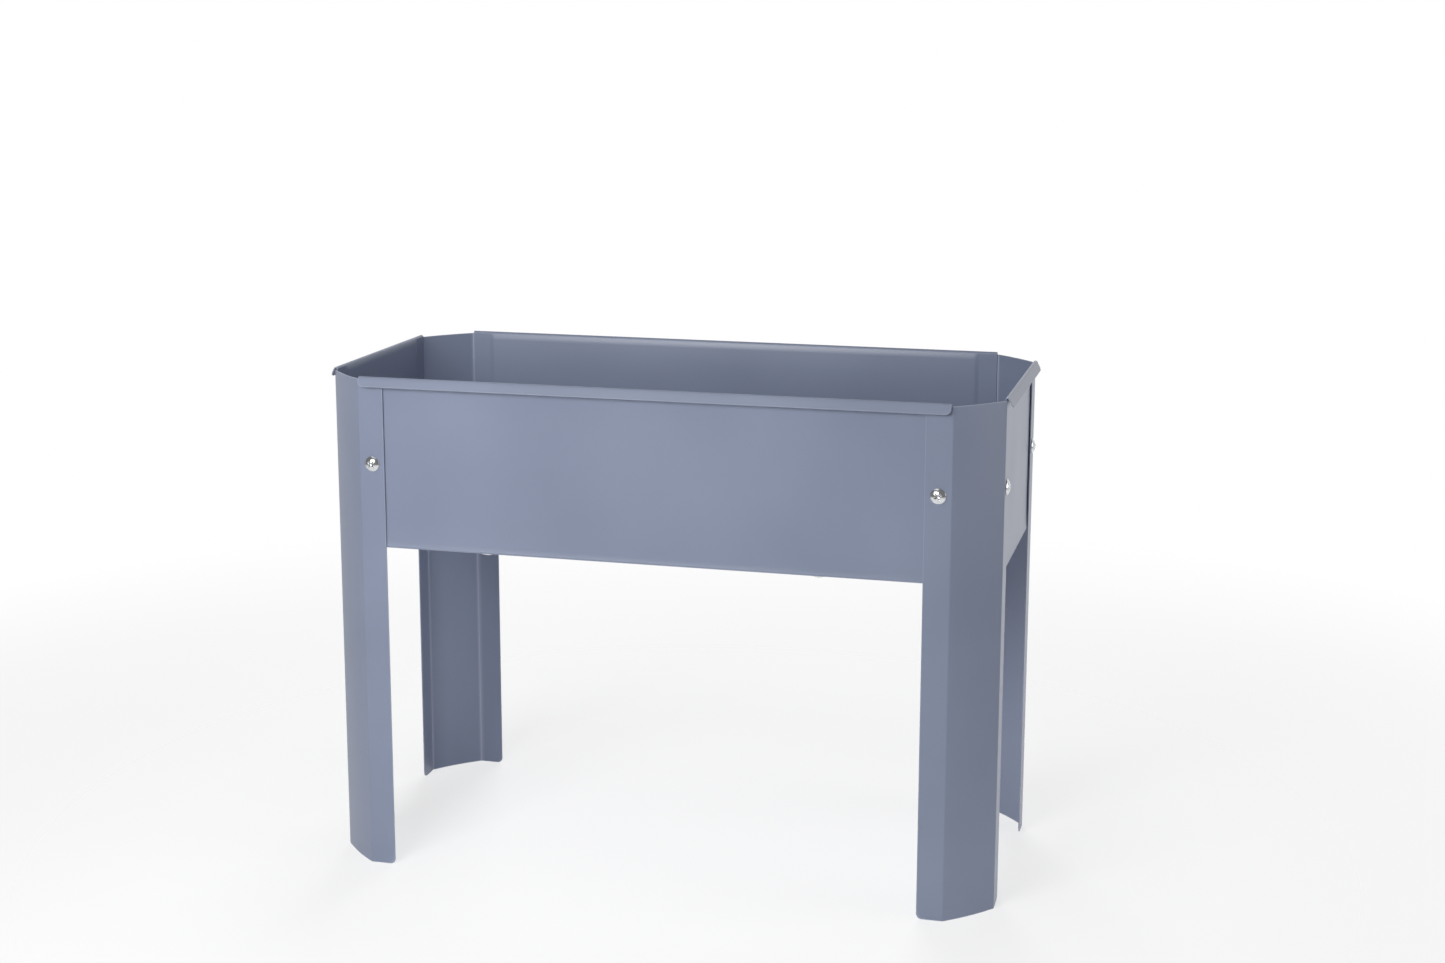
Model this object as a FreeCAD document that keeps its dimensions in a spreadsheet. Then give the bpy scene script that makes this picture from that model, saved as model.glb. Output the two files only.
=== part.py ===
import FreeCAD, Part
import math
import os
import Sketcher

# Raised planter on legs, bolted together from bent and powder-coated steel sheet.
# Millimetres, +Z up, +X along the long front, origin on the ground below the middle of the trough.
# The plan is a rectangle with four bevelled corners. Each corner is one leg: a strip bent into a
# flange, a slightly bulged bevel and a second flange, running from the ground up to the rim.
# Four panels stand inside the leg flanges, and each carries a drip lip at the rim and a ledge for
# the floor at the bottom. One bolt and one flange nut hold each panel to each leg.

SIZES = {
    # The whole planter
    "overall_width": 606,            # across the legs, along X
    "overall_depth": 284,            # across the legs, along Y
    "leg_height": 450,
    "trough_depth": 152,             # from the top of the legs down to the underside
    # The sheet
    "sheet_thickness": 1.0,
    "bend_radius": 1.0,              # inside the bends
    # The legs
    "corner_bevel": 39,              # what the bevel takes off each side of a corner
    "bevel_bulge": 1.8,              # how far the bevel swells out from flat
    "leg_flange": 23,
    "foot_corner_radius": 5,
    # The panels
    "rim_gap": 0.3,                  # from the top of a leg to the bend of the lip above it
    "lip_angle": 27,                 # between the lip and the wall
    "lip_length": 8.2,
    "lip_corner_radius": 5,
    "panel_end_gap": 0.7,            # from a panel's end to the bend in the leg
    "ledge_width": 20,
    "ledge_clip": 10,
    # The floor
    "floor_gap": 1.0,                # between the floor and the walls around it
    "drain_diameter": 10,
    "drain_columns": 5,
    "drain_rows": 2,
    "drain_column_pitch": 105,
    "drain_row_pitch": 120,
    # M6 bolts with truss heads and cross recesses, and M6 flange nuts
    "bolt_diameter": 6,
    "bolt_length": 12,
    "bolt_end_chamfer": 0.8,
    "head_diameter": 13.8,
    "head_height": 3.4,
    "head_edge": 0.6,                # straight edge below the dome
    "recess_length": 6.6,
    "recess_width": 1.3,
    "recess_depth": 2.2,
    "nut_width": 10,                 # across the flats
    "nut_height": 6,
    "nut_flange_diameter": 14.2,
    "nut_flange_thickness": 1.3,
    "bolt_hole_clearance": 0.5,      # on the diameter
    "thread_clearance": 0.1,         # on the diameter
    "floor_bolt_spacing": 300,
    "floor_bolt_inset": 10,          # from the inside of the wall
}

# The faces in turn, a quarter turn apart. Each has its name, the sizes of the planter along it and
# across it, the leg at its left end, and the names of its two ends, as seen from outside.
FACES = (
    ("front", "overall_width", "overall_depth", "front_left", ("left", "right")),
    ("right", "overall_depth", "overall_width", "front_right", ("front", "back")),
    ("back", "overall_width", "overall_depth", "back_right", ("right", "left")),
    ("left", "overall_depth", "overall_width", "back_left", ("back", "front")),
)

X_AXIS = FreeCAD.Vector(1, 0, 0)
Z_AXIS = FreeCAD.Vector(0, 0, 1)
ORIGIN = (-1, 1)                     # the sketch's own origin, as a constraint names it
SKETCH_X_AXIS = -1
SKETCH_Y_AXIS = -2
START = 1
END = 2
CENTRE = 3

doc = FreeCAD.newDocument("raised_planter")
sheet = doc.addObject("Spreadsheet::Sheet", "Sizes")
for row, (alias, number) in enumerate(SIZES.items(), start=1):
    sheet.set(f"A{row}", alias)
    sheet.set(f"B{row}", str(number))
    sheet.setAlias(f"B{row}", alias)
doc.recompute()


# ---------------------------------------------------------------- sizes worked out from the sheet

def sized(words):
    """Turn a formula in the sheet's plain names into an expression that FreeCAD follows."""
    for alias in sorted(SIZES, key=len, reverse=True):
        words = words.replace(alias, f"<<Sizes>>.{alias}")
    return words


def value(words):
    """Work out a formula in the sheet's plain names as a number."""
    return float(sheet.evalExpression(sized(words)))


OUTER_BEND = "(bend_radius + sheet_thickness)"
UNDERSIDE = "(leg_height - trough_depth)"
FLOOR_TOP = "(leg_height - trough_depth + 2 * sheet_thickness)"
LIP_BEND_HEIGHT = "(leg_height + rim_gap)"
BOLT_HEIGHT = "(leg_height - trough_depth / 2)"
BOLT_FROM_CORNER = "(corner_bevel + leg_flange / 2)"
BEVEL_RADIUS = "((corner_bevel * corner_bevel / 2 + bevel_bulge * bevel_bulge) / (2 * bevel_bulge))"
PANEL_CUT_BACK = "(corner_bevel + (bend_radius + sheet_thickness) * tan(22.5 deg) + panel_end_gap)"
BOLT_HOLE_RADIUS = "((bolt_diameter + bolt_hole_clearance) / 2)"
LEDGE_HOLE_Y = "(sheet_thickness + floor_bolt_inset)"


def turned(along, outward, quarter):
    """Expressions for X and Y of a place given along a face and outward from the middle."""
    return (
        (along, f"-({outward})"),
        (outward, along),
        (f"-({along})", outward),
        (f"-({outward})", f"-({along})"),
    )[quarter]


def place(piece, along, outward, height, quarter, tilt=0):
    """Put a piece on a face: tilted about its own X, then turned to the face, then moved."""
    turn = FreeCAD.Rotation(Z_AXIS, 90 * quarter)
    piece.Placement.Rotation = turn.multiply(FreeCAD.Rotation(X_AXIS, tilt))
    x_place, y_place = turned(along, outward, quarter)
    piece.setExpression(".Placement.Base.x", sized(x_place))
    piece.setExpression(".Placement.Base.y", sized(y_place))
    piece.setExpression(".Placement.Base.z", sized(height))


# ---------------------------------------------------------------- sketching and solid features

def new_body(label):
    body = doc.addObject("PartDesign::Body", label)
    body.Label = label
    return body


def new_sketch(body, name, role):
    """A sketch on one of the body's own origin planes, such as XY_Plane."""
    plane = next(item for item in body.Origin.OriginFeatures if item.Role == role)
    sketch = body.newObject("Sketcher::SketchObject", f"{body.Name}_{name}")
    sketch.AttachmentSupport = [(plane, "")]
    sketch.MapMode = "FlatFace"
    return sketch


def line(sketch, start, end):
    ends = FreeCAD.Vector(*start, 0), FreeCAD.Vector(*end, 0)
    return sketch.addGeometry(Part.LineSegment(*ends), False)


def arc(sketch, centre, radius, start_degrees, end_degrees):
    circle = Part.Circle(FreeCAD.Vector(*centre, 0), Z_AXIS, radius)
    turns = math.radians(start_degrees), math.radians(end_degrees)
    return sketch.addGeometry(Part.ArcOfCircle(circle, *turns), False)


def rule(sketch, kind, *items):
    return sketch.addConstraint(Sketcher.Constraint(kind, *items))


def dimension(sketch, kind, *items, size):
    """A dimension that follows the sheet."""
    index = sketch.addConstraint(Sketcher.Constraint(kind, *items, value(size)))
    sketch.setExpression(f"Constraints[{index}]", sized(size))


def finish_sketch(sketch):
    doc.recompute()
    if sketch.solve() != 0 or not sketch.FullyConstrained:
        raise RuntimeError(f"{sketch.Name} isn't solved and fully constrained")


def round_holes(body, name, role, centres, radius):
    """Round holes right through the body, square to one of its planes."""
    sketch = new_sketch(body, name, role)
    for across, up in centres:
        spot = FreeCAD.Vector(value(across), value(up), 0)
        ring = sketch.addGeometry(Part.Circle(spot, Z_AXIS, value(radius)), False)
        dimension(sketch, "Radius", ring, size=radius)
        for kind, size in (("DistanceX", across), ("DistanceY", up)):
            dimension(sketch, kind, *ORIGIN, ring, CENTRE, size=size)
    finish_sketch(sketch)
    before = body.Shape.Volume
    pocket = body.newObject("PartDesign::Pocket", f"{body.Name}_{name}_cut")
    pocket.Profile = sketch
    pocket.Type = "ThroughAll"
    pocket.Midplane = True
    doc.recompute()
    expected = len(centres) * math.pi * value(radius) ** 2 * value("sheet_thickness")
    if abs(before - body.Shape.Volume - expected) > 0.01 * expected:
        raise RuntimeError(f"{pocket.Name} doesn't go through one sheet at each hole")
    return pocket


def edge_names(shape, places):
    """The names of the edges whose middles lie nearest to the places given."""
    names = []
    for spot in places:
        target = FreeCAD.Vector(*spot)
        distances = [edge.CenterOfMass.distanceToPoint(target) for edge in shape.Edges]
        names.append(f"Edge{distances.index(min(distances)) + 1}")
    return names


def dress(body, kind, name, places, size_name, size):
    """A fillet or a chamfer on the edges nearest to the places given."""
    names = edge_names(body.Shape, places)
    base = body.Tip
    feature = body.newObject(f"PartDesign::{kind}", f"{body.Name}_{name}")
    feature.Base = (base, names)
    feature.setExpression(size_name, sized(size))
    body.Tip = feature
    doc.recompute()
    return feature


# ---------------------------------------------------------------- legs

def make_leg(label):
    """One leg. Its own origin is the corner that the bevel cuts off, with flanges along +X and +Y."""
    bevel, flange, thick = value("corner_bevel"), value("leg_flange"), value("sheet_thickness")
    reach = bevel + flange
    radius = value(BEVEL_RADIUS)
    middle = bevel / 2 + (radius - value("bevel_bulge")) / math.sqrt(2)
    inner_start = middle - math.sqrt((radius - thick) ** 2 - (middle - thick) ** 2)
    half_turn = math.degrees(math.asin(bevel / math.sqrt(2) / radius))
    first, last = 225 - half_turn, 225 + half_turn

    body = new_body(label)
    sketch = new_sketch(body, "profile", "XY_Plane")
    front_out = line(sketch, (reach, 0), (bevel, 0))
    bevel_out = arc(sketch, (middle, middle), radius, first, last)
    side_out = line(sketch, (0, bevel), (0, reach))
    side_end = line(sketch, (0, reach), (thick, reach))
    side_in = line(sketch, (thick, reach), (thick, inner_start))
    bevel_in = arc(sketch, (middle, middle), radius - thick, first, last)
    front_in = line(sketch, (inner_start, thick), (reach, thick))
    front_end = line(sketch, (reach, thick), (reach, 0))
    for one, one_end, other, other_end in (
        (front_out, END, bevel_out, END),
        (bevel_out, START, side_out, START),
        (side_out, END, side_end, START),
        (side_end, END, side_in, START),
        (side_in, END, bevel_in, START),
        (bevel_in, END, front_in, START),
        (front_in, END, front_end, START),
        (front_end, END, front_out, START),
        (bevel_in, CENTRE, bevel_out, CENTRE),
    ):
        rule(sketch, "Coincident", one, one_end, other, other_end)
    for level in (front_out, side_end, front_in):
        rule(sketch, "Horizontal", level)
    for upright in (side_out, side_in, front_end):
        rule(sketch, "Vertical", upright)
    rule(sketch, "PointOnObject", front_out, END, SKETCH_X_AXIS)
    rule(sketch, "PointOnObject", side_out, START, SKETCH_Y_AXIS)
    dimension(sketch, "DistanceX", *ORIGIN, front_out, END, size="corner_bevel")
    dimension(sketch, "DistanceY", *ORIGIN, side_out, START, size="corner_bevel")
    dimension(sketch, "Distance", front_out, size="leg_flange")
    dimension(sketch, "Distance", side_out, size="leg_flange")
    dimension(sketch, "Distance", side_end, size="sheet_thickness")
    dimension(sketch, "Distance", front_end, size="sheet_thickness")
    dimension(sketch, "Radius", bevel_out, size=BEVEL_RADIUS)
    dimension(sketch, "Radius", bevel_in, size=f"{BEVEL_RADIUS} - sheet_thickness")
    finish_sketch(sketch)

    pad = body.newObject("PartDesign::Pad", f"{label}_strip")
    pad.Profile = sketch
    pad.setExpression("Length", sized("leg_height"))
    doc.recompute()
    half_height = value("leg_height") / 2
    outer_bends = ((bevel, 0, half_height), (0, bevel, half_height))
    dress(body, "Fillet", "outer_bends", outer_bends, "Radius", OUTER_BEND)
    inner_bends = ((inner_start, thick, half_height), (thick, inner_start, half_height))
    dress(body, "Fillet", "inner_bends", inner_bends, "Radius", "bend_radius")
    foot_corners = ((reach, thick / 2, 0), (thick / 2, reach, 0))
    dress(body, "Fillet", "foot_corners", foot_corners, "Radius", "foot_corner_radius")
    round_holes(body, "front_hole", "XZ_Plane", [(BOLT_FROM_CORNER, BOLT_HEIGHT)], BOLT_HOLE_RADIUS)
    side_hole = round_holes(body, "side_hole", "YZ_Plane", [(BOLT_FROM_CORNER, BOLT_HEIGHT)],
                            BOLT_HOLE_RADIUS)
    body.Tip = side_hole
    return body


# ---------------------------------------------------------------- panels

def make_panel(label, along_size, has_floor_bolts):
    """One panel: wall, drip lip and ledge. Its outer face is its own XZ plane, facing -Y."""
    thick, bend = value("sheet_thickness"), value("bend_radius")
    outer = bend + thick
    top = value(LIP_BEND_HEIGHT)
    underside = value(UNDERSIDE)
    ledge = value("ledge_width")
    slope = math.radians(value("lip_angle"))
    lip_run = (value("lip_length") * math.sin(slope), value("lip_length") * math.cos(slope))

    def on_lip_bend(radius):
        return -bend - radius * math.cos(slope), top + radius * math.sin(slope)

    def lip_tip(radius):
        across, up = on_lip_bend(radius)
        return across - lip_run[0], up - lip_run[1]

    body = new_body(label)
    sketch = new_sketch(body, "profile", "YZ_Plane")
    wall_out = line(sketch, (0, underside + outer), (0, top))
    lip_bend_in = arc(sketch, (-bend, top), bend, 0, 180 - value("lip_angle"))
    lip_under = line(sketch, on_lip_bend(bend), lip_tip(bend))
    lip_edge = line(sketch, lip_tip(bend), lip_tip(outer))
    lip_over = line(sketch, lip_tip(outer), on_lip_bend(outer))
    lip_bend_out = arc(sketch, (-bend, top), outer, 0, 180 - value("lip_angle"))
    wall_in = line(sketch, (thick, top), (thick, underside + outer))
    ledge_bend_in = arc(sketch, (outer, underside + outer), bend, 180, 270)
    ledge_top = line(sketch, (outer, underside + thick), (ledge, underside + thick))
    ledge_edge = line(sketch, (ledge, underside + thick), (ledge, underside))
    ledge_under = line(sketch, (ledge, underside), (outer, underside))
    ledge_bend_out = arc(sketch, (outer, underside + outer), outer, 180, 270)
    for one, one_end, other, other_end in (
        (wall_out, END, lip_bend_in, START),
        (lip_bend_in, END, lip_under, START),
        (lip_over, END, lip_bend_out, END),
        (lip_bend_out, START, wall_in, START),
        (wall_in, END, ledge_bend_in, START),
        (ledge_bend_in, END, ledge_top, START),
        (ledge_under, END, ledge_bend_out, END),
        (ledge_bend_out, START, wall_out, START),
    ):
        rule(sketch, "Tangent", one, one_end, other, other_end)
    for one, one_end, other, other_end in (
        (lip_under, END, lip_edge, START),
        (lip_edge, END, lip_over, START),
        (ledge_top, END, ledge_edge, START),
        (ledge_edge, END, ledge_under, START),
        (lip_bend_in, CENTRE, lip_bend_out, CENTRE),
        (ledge_bend_in, CENTRE, ledge_bend_out, CENTRE),
    ):
        rule(sketch, "Coincident", one, one_end, other, other_end)
    rule(sketch, "Vertical", wall_out)
    rule(sketch, "Vertical", ledge_edge)
    rule(sketch, "Horizontal", ledge_top)
    rule(sketch, "Horizontal", ledge_under)
    rule(sketch, "Perpendicular", lip_under, lip_edge)
    rule(sketch, "Perpendicular", lip_edge, lip_over)
    rule(sketch, "PointOnObject", wall_out, START, SKETCH_Y_AXIS)
    dimension(sketch, "Radius", lip_bend_in, size="bend_radius")
    dimension(sketch, "Radius", lip_bend_out, size=OUTER_BEND)
    dimension(sketch, "Radius", ledge_bend_in, size="bend_radius")
    dimension(sketch, "Radius", ledge_bend_out, size=OUTER_BEND)
    dimension(sketch, "DistanceY", *ORIGIN, lip_bend_in, CENTRE, size=LIP_BEND_HEIGHT)
    dimension(sketch, "DistanceY", *ORIGIN, ledge_under, START, size=UNDERSIDE)
    dimension(sketch, "DistanceX", *ORIGIN, ledge_under, START, size="ledge_width")
    dimension(sketch, "Distance", lip_over, size="lip_length")
    dimension(sketch, "Angle", lip_over, size="90 deg - lip_angle * 1 deg")
    finish_sketch(sketch)

    pad = body.newObject("PartDesign::Pad", f"{label}_sheet")
    pad.Profile = sketch
    pad.Midplane = True
    pad.setExpression("Length", sized(f"{along_size} - 2 * {PANEL_CUT_BACK}"))
    doc.recompute()
    end = value(along_size) / 2 - value(PANEL_CUT_BACK)
    tip_across, tip_up = lip_tip(bend + thick / 2)
    lip_corners = ((-end, tip_across, tip_up), (end, tip_across, tip_up))
    dress(body, "Fillet", "lip_corners", lip_corners, "Radius", "lip_corner_radius")
    ledge_level = underside + thick / 2
    ledge_corners = ((-end, ledge, ledge_level), (end, ledge, ledge_level))
    dress(body, "Chamfer", "ledge_corners", ledge_corners, "Size", "ledge_clip")
    along = f"({along_size} / 2 - {BOLT_FROM_CORNER})"
    centres = [(f"-{along}", BOLT_HEIGHT), (along, BOLT_HEIGHT)]
    last = round_holes(body, "bolt_holes", "XZ_Plane", centres, BOLT_HOLE_RADIUS)
    if has_floor_bolts:
        centres = [("-floor_bolt_spacing / 2", LEDGE_HOLE_Y), ("floor_bolt_spacing / 2", LEDGE_HOLE_Y)]
        last = round_holes(body, "ledge_holes", "XY_Plane", centres, BOLT_HOLE_RADIUS)
    body.Tip = last
    return body


# ---------------------------------------------------------------- floor

def make_floor(label):
    """The floor: one sheet with clipped corners, holes for its bolts and rows of drain holes."""
    wall = "(2 * sheet_thickness + floor_gap)"
    half_width = f"(overall_width / 2 - {wall})"
    half_depth = f"(overall_depth / 2 - {wall})"
    clip = f"(corner_bevel + (sheet_thickness + floor_gap) * sqrt(2) - 2 * {wall})"
    across, deep, cut = value(half_width), value(half_depth), value(clip)
    corners = (
        (-across, -deep + cut), (-across + cut, -deep), (across - cut, -deep), (across, -deep + cut),
        (across, deep - cut), (across - cut, deep), (-across + cut, deep), (-across, deep - cut),
    )
    body = new_body(label)
    sketch = new_sketch(body, "outline", "XY_Plane")
    edges = [line(sketch, corners[i], corners[(i + 1) % 8]) for i in range(8)]
    for i in range(8):
        rule(sketch, "Coincident", edges[i], END, edges[(i + 1) % 8], START)
    for level in (edges[1], edges[5]):
        rule(sketch, "Horizontal", level)
    for upright in (edges[3], edges[7]):
        rule(sketch, "Vertical", upright)
    dimension(sketch, "DistanceX", *ORIGIN, edges[3], START, size=half_width)
    dimension(sketch, "DistanceX", edges[7], START, *ORIGIN, size=half_width)
    dimension(sketch, "DistanceY", *ORIGIN, edges[5], START, size=half_depth)
    dimension(sketch, "DistanceY", edges[1], START, *ORIGIN, size=half_depth)
    for clipped, start_is_low_x, start_is_low_y in (
        (edges[0], True, False), (edges[2], True, True), (edges[4], False, True), (edges[6], False, False),
    ):
        x_ends = (START, END) if start_is_low_x else (END, START)
        y_ends = (START, END) if start_is_low_y else (END, START)
        dimension(sketch, "DistanceX", clipped, x_ends[0], clipped, x_ends[1], size=clip)
        dimension(sketch, "DistanceY", clipped, y_ends[0], clipped, y_ends[1], size=clip)
    finish_sketch(sketch)

    pad = body.newObject("PartDesign::Pad", f"{label}_sheet")
    pad.Profile = sketch
    pad.setExpression("Length", sized("sheet_thickness"))
    doc.recompute()
    to_bolts = "(overall_depth / 2 - 2 * sheet_thickness - floor_bolt_inset)"
    centres = [
        (f"{side}floor_bolt_spacing / 2", f"{edge}{to_bolts}") for side in ("-", "") for edge in ("-", "")
    ]
    round_holes(body, "bolt_holes", "XY_Plane", centres, BOLT_HOLE_RADIUS)
    columns, rows = SIZES["drain_columns"], SIZES["drain_rows"]
    centres = [
        (f"drain_column_pitch * ({column} - (drain_columns - 1) / 2)",
         f"drain_row_pitch * ({row} - (drain_rows - 1) / 2)")
        for column in range(columns) for row in range(rows)
    ]
    drains = round_holes(body, "drain_holes", "XY_Plane", centres, "drain_diameter / 2")
    body.Tip = drains
    place(body, "0", "0", f"{UNDERSIDE} + sheet_thickness", 0)
    return body


# ---------------------------------------------------------------- bolts and nuts

def make_bolt(label):
    """One truss-head bolt. Its own origin is where its axis meets the seat; the head is towards +Z."""
    shank, head = value("bolt_diameter / 2"), value("head_diameter / 2")
    length, chamfer = value("bolt_length"), value("bolt_end_chamfer")
    edge, height = value("head_edge"), value("head_height")
    dome = (head ** 2 + (height - edge) ** 2) / (2 * (height - edge))
    rise = math.degrees(math.asin((edge - height + dome) / dome))
    corners = ((0, height), (0, -length), (shank - chamfer, -length), (shank, -length + chamfer),
               (shank, 0), (head, 0), (head, edge))

    body = new_body(label)
    sketch = new_sketch(body, "half_profile", "XZ_Plane")
    axis, tip, taper, side, seat, rim = (
        line(sketch, corners[i], corners[i + 1]) for i in range(6)
    )
    top = arc(sketch, (0, height - dome), dome, rise, 90)
    for one, other in ((axis, tip), (tip, taper), (taper, side), (side, seat), (seat, rim), (rim, top)):
        rule(sketch, "Coincident", one, END, other, START)
    rule(sketch, "Coincident", top, END, axis, START)
    rule(sketch, "PointOnObject", axis, START, SKETCH_Y_AXIS)
    rule(sketch, "PointOnObject", top, CENTRE, SKETCH_Y_AXIS)
    rule(sketch, "PointOnObject", seat, START, SKETCH_X_AXIS)
    for upright in (axis, side, rim):
        rule(sketch, "Vertical", upright)
    for level in (tip, seat):
        rule(sketch, "Horizontal", level)
    dimension(sketch, "DistanceY", *ORIGIN, axis, START, size="head_height")
    dimension(sketch, "DistanceY", tip, START, *ORIGIN, size="bolt_length")
    dimension(sketch, "DistanceX", taper, START, taper, END, size="bolt_end_chamfer")
    dimension(sketch, "DistanceY", taper, START, taper, END, size="bolt_end_chamfer")
    dimension(sketch, "DistanceX", *ORIGIN, seat, START, size="bolt_diameter / 2")
    dimension(sketch, "DistanceX", *ORIGIN, seat, END, size="head_diameter / 2")
    dimension(sketch, "Distance", rim, size="head_edge")
    finish_sketch(sketch)

    turned_blank = body.newObject("PartDesign::Revolution", f"{label}_blank")
    turned_blank.Profile = sketch
    turned_blank.ReferenceAxis = (sketch, ["V_Axis"])
    turned_blank.Angle = 360
    doc.recompute()
    for name, along_x, along_y in (
        ("slot_x", "recess_length", "recess_width"), ("slot_y", "recess_width", "recess_length"),
    ):
        last = cut_slot(body, name, along_x, along_y)
    body.Tip = last
    return body


def cut_slot(body, name, along_x, along_y):
    """One slot of the cross recess, sunk from the crown of the head."""
    half_x, half_y = value(along_x) / 2, value(along_y) / 2
    corners = ((-half_x, -half_y), (half_x, -half_y), (half_x, half_y), (-half_x, half_y))
    sketch = new_sketch(body, name, "XY_Plane")
    sketch.AttachmentOffset = FreeCAD.Placement(FreeCAD.Vector(0, 0, value("head_height")),
                                                FreeCAD.Rotation())
    sketch.setExpression(".AttachmentOffset.Base.z", sized("head_height"))
    edges = [line(sketch, corners[i], corners[(i + 1) % 4]) for i in range(4)]
    for i in range(4):
        rule(sketch, "Coincident", edges[i], END, edges[(i + 1) % 4], START)
        rule(sketch, ("Horizontal", "Vertical")[i % 2], edges[i])
    rule(sketch, "Symmetric", edges[0], START, edges[2], START, *ORIGIN)
    dimension(sketch, "Distance", edges[0], size=along_x)
    dimension(sketch, "Distance", edges[1], size=along_y)
    finish_sketch(sketch)
    before = body.Shape.Volume
    pocket = body.newObject("PartDesign::Pocket", f"{body.Name}_{name}_cut")
    pocket.Profile = sketch
    pocket.setExpression("Length", sized("recess_depth"))
    doc.recompute()
    if body.Shape.Volume > before - 1:
        raise RuntimeError(f"{pocket.Name} cuts nothing")
    return pocket


def make_nut(label):
    """One flange nut. Its own origin is where its axis meets the seat; the hexagon is towards -Z."""
    hexagon = doc.addObject("Part::Prism", f"{label}_hexagon")
    hexagon.Polygon = 6
    hexagon.setExpression("Circumradius", sized("nut_width / sqrt(3)"))
    hexagon.setExpression("Height", sized("nut_height"))
    hexagon.setExpression(".Placement.Base.z", sized("-nut_height"))
    flange = doc.addObject("Part::Cylinder", f"{label}_flange")
    flange.setExpression("Radius", sized("nut_flange_diameter / 2"))
    flange.setExpression("Height", sized("nut_flange_thickness"))
    flange.setExpression(".Placement.Base.z", sized("-nut_flange_thickness"))
    bore = doc.addObject("Part::Cylinder", f"{label}_bore")
    bore.setExpression("Radius", sized("(bolt_diameter + thread_clearance) / 2"))
    bore.setExpression("Height", sized("2 * nut_height"))
    bore.setExpression(".Placement.Base.z", sized("-1.5 * nut_height"))
    blank = doc.addObject("Part::Fuse", f"{label}_blank")
    blank.Base = hexagon
    blank.Tool = flange
    nut = doc.addObject("Part::Cut", label)
    nut.Label = label
    nut.Base = blank
    nut.Tool = bore
    doc.recompute()
    return nut


# ---------------------------------------------------------------- the whole planter

pieces = [make_floor("floor_sheet")]
for quarter, (face, along_size, outward_size, leg_name, end_names) in enumerate(FACES):
    leg = make_leg(f"leg_{leg_name}")
    place(leg, f"-{along_size} / 2", f"{outward_size} / 2", "0", quarter)

    on_long_side = along_size == "overall_width"
    panel = make_panel(f"panel_{face}", along_size, on_long_side)
    place(panel, "0", f"{outward_size} / 2 - sheet_thickness", "0", quarter)
    pieces += [leg, panel]

    for side, end_name in zip(("-", ""), end_names):
        along = f"{side}({along_size} / 2 - {BOLT_FROM_CORNER})"
        bolt = make_bolt(f"bolt_{face}_{end_name}")
        place(bolt, along, f"{outward_size} / 2", BOLT_HEIGHT, quarter, tilt=90)
        nut = make_nut(f"nut_{face}_{end_name}")
        place(nut, along, f"{outward_size} / 2 - 2 * sheet_thickness", BOLT_HEIGHT, quarter, tilt=90)
        pieces += [bolt, nut]
        if on_long_side:
            along = f"{side}floor_bolt_spacing / 2"
            outward = f"{outward_size} / 2 - 2 * sheet_thickness - floor_bolt_inset"
            bolt = make_bolt(f"floor_bolt_{face}_{end_name}")
            place(bolt, along, outward, UNDERSIDE, quarter, tilt=180)
            nut = make_nut(f"floor_nut_{face}_{end_name}")
            place(nut, along, outward, FLOOR_TOP, quarter, tilt=180)
            pieces += [bolt, nut]
doc.recompute()

for item in doc.Objects:
    if "Invalid" in item.State or "Error" in item.State:
        raise RuntimeError(f"{item.Label} failed: {item.State}")
for piece in pieces:
    if piece.Shape.isNull() or not piece.Shape.isValid() or len(piece.Shape.Solids) != 1:
        raise RuntimeError(f"{piece.Label} isn't one valid solid")

os.makedirs("parts", exist_ok=True)
for piece in pieces:
    piece.Shape.exportStep(f"parts/{piece.Label}.step")
print(f"{len(pieces)} pieces written")
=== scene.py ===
import math

import bmesh
import bpy
import numpy as np
from mathutils import Matrix, Vector


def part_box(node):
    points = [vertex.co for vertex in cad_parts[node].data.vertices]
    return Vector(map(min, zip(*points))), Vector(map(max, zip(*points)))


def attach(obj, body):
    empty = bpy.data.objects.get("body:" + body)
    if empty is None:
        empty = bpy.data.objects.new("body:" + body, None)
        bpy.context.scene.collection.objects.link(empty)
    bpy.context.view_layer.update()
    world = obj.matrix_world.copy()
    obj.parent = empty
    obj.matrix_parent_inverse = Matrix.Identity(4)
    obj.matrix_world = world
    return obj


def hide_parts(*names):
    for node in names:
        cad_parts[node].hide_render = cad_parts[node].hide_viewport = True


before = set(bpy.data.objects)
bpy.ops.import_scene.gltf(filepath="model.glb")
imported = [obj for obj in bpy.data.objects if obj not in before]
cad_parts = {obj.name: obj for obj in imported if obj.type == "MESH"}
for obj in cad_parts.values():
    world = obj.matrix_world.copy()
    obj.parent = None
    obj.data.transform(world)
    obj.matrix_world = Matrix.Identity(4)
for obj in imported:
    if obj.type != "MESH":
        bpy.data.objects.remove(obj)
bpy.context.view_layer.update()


# ============================================================ the sheet and its powder coat
# Legs, panels and floor are cut from 1 mm cold-rolled steel. After bending, every piece is hung up,
# sprayed with slate-blue polyester powder and baked, which leaves a satin skin with a fine orange
# peel. The powder draws back a little from the sheared edges, so they come out thinner and paler; the paler
# edge is also a painted highlight, for the light that the edges catch.

SHEET = 0.001
BEND = 0.001                      # inside radius of every bend
MIDDLE_BEND = BEND + SHEET / 2
COAT_LIGHT = (0.281, 0.321, 0.437, 1)
COAT_DEEP = (0.191, 0.224, 0.316, 1)
# Paler edge tone: thinner powder, and a painted highlight along the sheared edges.
COAT_THIN_EDGE_AND_GLINT = (0.340, 0.380, 0.480, 1)
# Painted highlight: a paler coat along the inside of a leg bend, standing in for the glint its tight radius
# catches.
COAT_BEND_HIGHLIGHT = (0.500, 0.540, 0.660, 1)


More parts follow.
